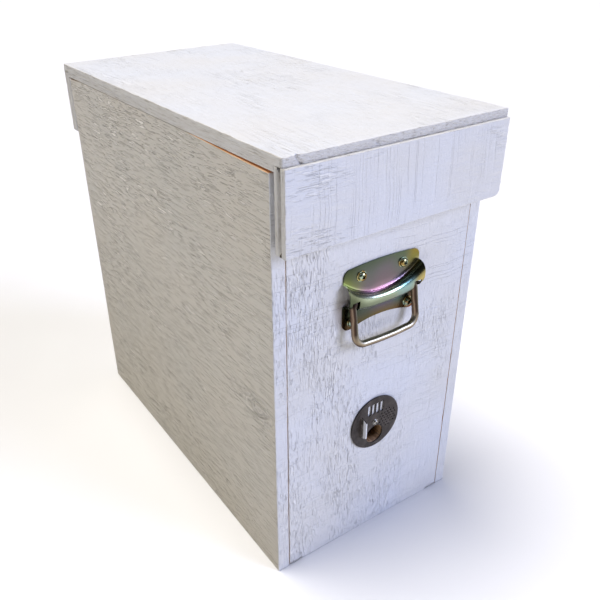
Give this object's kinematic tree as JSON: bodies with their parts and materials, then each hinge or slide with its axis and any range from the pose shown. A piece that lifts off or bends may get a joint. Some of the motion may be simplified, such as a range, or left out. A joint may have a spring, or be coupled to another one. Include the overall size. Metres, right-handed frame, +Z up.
{
  "type": "beehive",
  "caption": "Tall painted plywood nucleus beehive with a lift-off lid, hanging frames, a turning entrance disc and a chest handle at each end.",
  "frame": {"origin": "middle of the footprint, on the surface that the hive stands on", "axes": "-Y is the front with the entrance, +X is to the right seen from the front, +Z is up"},
  "size_m": [0.27, 0.537, 0.505],
  "materials": {
    "painted_plywood": "off-white exterior paint brushed over plywood",
    "bare_plywood": "unpainted plywood",
    "pine": "planed pine",
    "beeswax": "pressed beeswax",
    "yellow_zinc": "iridescent yellow zinc passivate on pressed steel",
    "dark_gunmetal": "dark oxidised steel sheet",
    "bright_steel": "bright zinc plate"
  },
  "bodies": {
    "case": {"left_side_panel": "painted_plywood", "right_side_panel": "painted_plywood", "front_panel": "painted_plywood", "rear_panel": "painted_plywood", "floor_board": "bare_plywood", "case_nails": "bright_steel", "disc_screw": "bright_steel", "front_handle_plate": "yellow_zinc", "front_handle_screws": "yellow_zinc", "rear_handle_plate": "yellow_zinc", "rear_handle_screws": "yellow_zinc", "frame_1_top_bar": "pine", "frame_1_side_bars": "pine", "frame_1_bottom_bar": "pine", "frame_1_foundation": "beeswax", "frame_2_top_bar": "pine", "frame_2_side_bars": "pine", "frame_2_bottom_bar": "pine", "frame_2_foundation": "beeswax", "frame_3_top_bar": "pine", "frame_3_side_bars": "pine", "frame_3_bottom_bar": "pine", "frame_3_foundation": "beeswax", "frame_4_top_bar": "pine", "frame_4_side_bars": "pine", "frame_4_bottom_bar": "pine", "frame_4_foundation": "beeswax", "frame_5_top_bar": "pine", "frame_5_side_bars": "pine", "frame_5_bottom_bar": "pine", "frame_5_foundation": "beeswax", "frame_6_top_bar": "pine", "frame_6_side_bars": "pine", "frame_6_bottom_bar": "pine", "frame_6_foundation": "beeswax"},
    "lid": {"lid_board": "painted_plywood", "lid_front_skirt": "painted_plywood", "lid_rear_skirt": "painted_plywood", "lid_nails": "bright_steel"},
    "entrance_disc": {"entrance_disc": "dark_gunmetal"},
    "front_bail": {"front_bail": "yellow_zinc"},
    "rear_bail": {"rear_bail": "yellow_zinc"}
  },
  "joints": [
    {"name": "lid_lift", "type": "slide", "parent": "case", "child": "lid", "axis": [0, 0, 1], "range_m": [0, 0.2]},
    {"name": "disc_turn", "type": "hinge", "parent": "case", "child": "entrance_disc", "pos_m": [0.0015, -0.2485, 0.1625], "axis": [0, -1, 0], "continuous": true},
    {"name": "front_bail_swing", "type": "hinge", "parent": "case", "child": "front_bail", "pos_m": [-0.002, -0.25305, 0.335], "axis": [-1, 0, 0], "range_deg": [0, 80]},
    {"name": "rear_bail_swing", "type": "hinge", "parent": "case", "child": "rear_bail", "pos_m": [0.002, 0.25305, 0.335], "axis": [1, 0, 0], "range_deg": [0, 80]}
  ]
}
